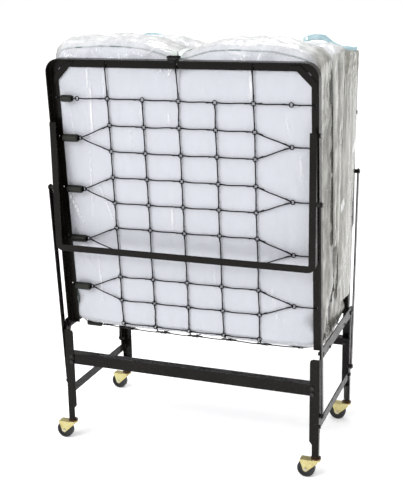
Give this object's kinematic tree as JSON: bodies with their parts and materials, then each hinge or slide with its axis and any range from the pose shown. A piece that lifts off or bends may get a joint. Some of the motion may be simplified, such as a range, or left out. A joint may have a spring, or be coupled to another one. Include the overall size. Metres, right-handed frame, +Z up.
{
  "type": "folding rollaway cot",
  "caption": "Folding rollaway bed: hinged angle-iron deck halves with link nets, mattress between them, fold-out end legs and swivel casters.",
  "frame": {"origin": "centre of the folded cot's overall box, on the floor", "axes": "+X across the bed's width, +Y from the front half to the rear half through the folded thickness, +Z up"},
  "size_m": [0.8212, 0.476, 1.1897],
  "materials": {
    "frame_black": "semi-gloss black enamel over rolled angle iron",
    "wire_black": "black enamelled spring wire",
    "bolt_black": "black oxide fasteners with worn edges",
    "sleeve_vinyl": "soft black vinyl sleeve",
    "mattress_ticking": "pale ticking under clear film",
    "strap_webbing": "pale woven elastic band",
    "hook_plastic": "moulded black plastic",
    "wheel_plastic": "hard black plastic, lightly scuffed tread",
    "zinc_yellow": "yellow zinc plated pressed steel",
    "race_bronze": "dark yellow zinc race",
    "steel_plated": "zinc plated steel"
  },
  "bodies": {
    "base": {"caster_raceways": "race_bronze", "caster_stem_sockets": "steel_plated", "caster_stems": "steel_plated", "center_link_net": "wire_black", "center_net_springs": "wire_black", "center_spring_sleeves": "sleeve_vinyl", "cross_rail_bolts": "bolt_black", "cross_rail_front": "frame_black", "cross_rail_rear": "frame_black", "deck_pivot_bolts": "bolt_black", "leg_front_left": "frame_black", "leg_front_right": "frame_black", "leg_rear_left": "frame_black", "leg_rear_right": "frame_black", "link_anchor_bolts": "bolt_black", "mattress_fold": "mattress_ticking", "side_bar_lower_left": "frame_black", "side_bar_lower_right": "frame_black", "side_bar_upper_left": "frame_black", "side_bar_upper_right": "frame_black"},
    "front_deck": {"front_deck_frame": "frame_black", "front_corner_gussets": "frame_black", "front_link_net": "wire_black", "front_net_springs": "wire_black", "front_spring_sleeves": "sleeve_vinyl", "front_end_leg_bolts": "bolt_black", "mattress_front_half": "mattress_ticking", "retaining_strap_front": "strap_webbing", "strap_hook_front": "hook_plastic"},
    "front_end_leg_body": {"front_end_leg": "frame_black", "front_link_bolts": "bolt_black"},
    "front_links": {"front_link_bar_left": "frame_black", "front_link_bar_right": "frame_black"},
    "rear_deck": {"rear_deck_frame": "frame_black", "rear_corner_gussets": "frame_black", "rear_link_net": "wire_black", "rear_net_springs": "wire_black", "rear_spring_sleeves": "sleeve_vinyl", "rear_end_leg_bolts": "bolt_black", "mattress_rear_half": "mattress_ticking", "retaining_strap_rear": "strap_webbing", "strap_hook_rear": "hook_plastic"},
    "rear_end_leg_body": {"rear_end_leg": "frame_black", "rear_link_bolts": "bolt_black"},
    "rear_links": {"rear_link_bar_left": "frame_black", "rear_link_bar_right": "frame_black"},
    "caster_front_left": {"caster_fork_front_left": "zinc_yellow", "caster_axle_front_left": "steel_plated"},
    "wheel_front_left": {"caster_wheel_front_left": "wheel_plastic"},
    "caster_front_right": {"caster_fork_front_right": "zinc_yellow", "caster_axle_front_right": "steel_plated"},
    "wheel_front_right": {"caster_wheel_front_right": "wheel_plastic"},
    "caster_rear_left": {"caster_fork_rear_left": "zinc_yellow", "caster_axle_rear_left": "steel_plated"},
    "wheel_rear_left": {"caster_wheel_rear_left": "wheel_plastic"},
    "caster_rear_right": {"caster_fork_rear_right": "zinc_yellow", "caster_axle_rear_right": "steel_plated"},
    "wheel_rear_right": {"caster_wheel_rear_right": "wheel_plastic"}
  },
  "joints": [
    {"name": "front_fold", "type": "hinge", "parent": "base", "child": "front_deck", "pos_m": [0.01655, -0.173, 0.358], "axis": [1, 0, 0], "range_deg": [0, 86]},
    {"name": "front_end_leg_swing", "type": "hinge", "parent": "front_deck", "child": "front_end_leg_body", "pos_m": [0.01655, -0.21499, 0.95853], "axis": [-1, 0, 0], "range_deg": [0, 86]},
    {"name": "front_link_swing", "type": "hinge", "parent": "base", "child": "front_links", "pos_m": [0.01655, -0.183, 0.182], "axis": [1, 0, 0], "range_deg": [0, 86]},
    {"name": "rear_fold", "type": "hinge", "parent": "base", "child": "rear_deck", "pos_m": [0.01655, 0.173, 0.358], "axis": [-1, 0, 0], "range_deg": [0, 86]},
    {"name": "rear_end_leg_swing", "type": "hinge", "parent": "rear_deck", "child": "rear_end_leg_body", "pos_m": [0.01655, 0.21499, 0.95853], "axis": [1, 0, 0], "range_deg": [0, 86]},
    {"name": "rear_link_swing", "type": "hinge", "parent": "base", "child": "rear_links", "pos_m": [0.01655, 0.183, 0.182], "axis": [-1, 0, 0], "range_deg": [0, 86]},
    {"name": "swivel_front_left", "type": "hinge", "parent": "base", "child": "caster_front_left", "pos_m": [-0.35875, -0.1913, 0.0535], "axis": [0, 0, 1], "continuous": true},
    {"name": "roll_front_left", "type": "hinge", "parent": "caster_front_left", "child": "wheel_front_left", "pos_m": [-0.38575, -0.1913, 0.025], "axis": [0, 1, 0], "continuous": true},
    {"name": "swivel_front_right", "type": "hinge", "parent": "base", "child": "caster_front_right", "pos_m": [0.39185, -0.1913, 0.0535], "axis": [0, 0, 1], "continuous": true},
    {"name": "roll_front_right", "type": "hinge", "parent": "caster_front_right", "child": "wheel_front_right", "pos_m": [0.36485, -0.1913, 0.025], "axis": [0, 1, 0], "continuous": true},
    {"name": "swivel_rear_left", "type": "hinge", "parent": "base", "child": "caster_rear_left", "pos_m": [-0.35875, 0.1913, 0.0535], "axis": [0, 0, 1], "continuous": true},
    {"name": "roll_rear_left", "type": "hinge", "parent": "caster_rear_left", "child": "wheel_rear_left", "pos_m": [-0.38575, 0.1913, 0.025], "axis": [0, 1, 0], "continuous": true},
    {"name": "swivel_rear_right", "type": "hinge", "parent": "base", "child": "caster_rear_right", "pos_m": [0.39185, 0.1913, 0.0535], "axis": [0, 0, 1], "continuous": true},
    {"name": "roll_rear_right", "type": "hinge", "parent": "caster_rear_right", "child": "wheel_rear_right", "pos_m": [0.36485, 0.1913, 0.025], "axis": [0, 1, 0], "continuous": true}
  ],
  "couplings": [
    {"joint": "front_end_leg_swing", "follows": "front_fold", "ratio": 1},
    {"joint": "front_link_swing", "follows": "front_fold", "ratio": 1},
    {"joint": "rear_end_leg_swing", "follows": "rear_fold", "ratio": 1},
    {"joint": "rear_link_swing", "follows": "rear_fold", "ratio": 1}
  ]
}
